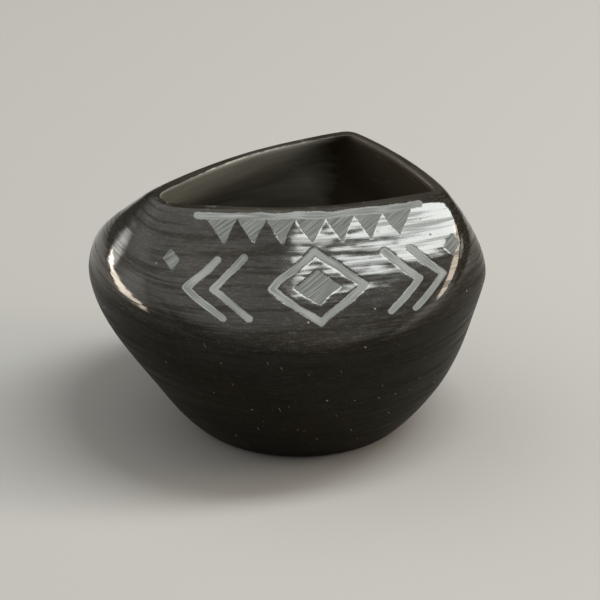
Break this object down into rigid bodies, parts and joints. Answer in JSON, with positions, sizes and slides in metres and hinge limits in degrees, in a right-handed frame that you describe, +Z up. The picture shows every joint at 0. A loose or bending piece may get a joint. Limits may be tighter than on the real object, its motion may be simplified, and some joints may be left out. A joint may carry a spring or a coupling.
{
  "type": "pottery bowl",
  "caption": "Small coil-built black clay bowl with a round belly, a shoulder pressed to flat panels, a level three-sided mouth and a flat round foot.",
  "frame": {"origin": "centre of the flat round foot, on the surface that the bowl stands on", "axes": "+Z up, -Y towards the front panel with the scratched design, +X to the right seen from the front"},
  "size_m": [0.0699, 0.0698, 0.0455],
  "materials": {
    "burnished_blackware": "black slip, polished with a stone and fired in smoke, with a matte scratched design on the front"
  },
  "bodies": {
    "root": {"base_pat": "burnished_blackware", "wall_coil_1": "burnished_blackware", "wall_coil_2": "burnished_blackware", "wall_coil_3": "burnished_blackware", "wall_coil_4": "burnished_blackware", "shoulder_coil_1": "burnished_blackware", "shoulder_coil_2": "burnished_blackware", "rim_coil": "burnished_blackware"}
  },
  "joints": []
}
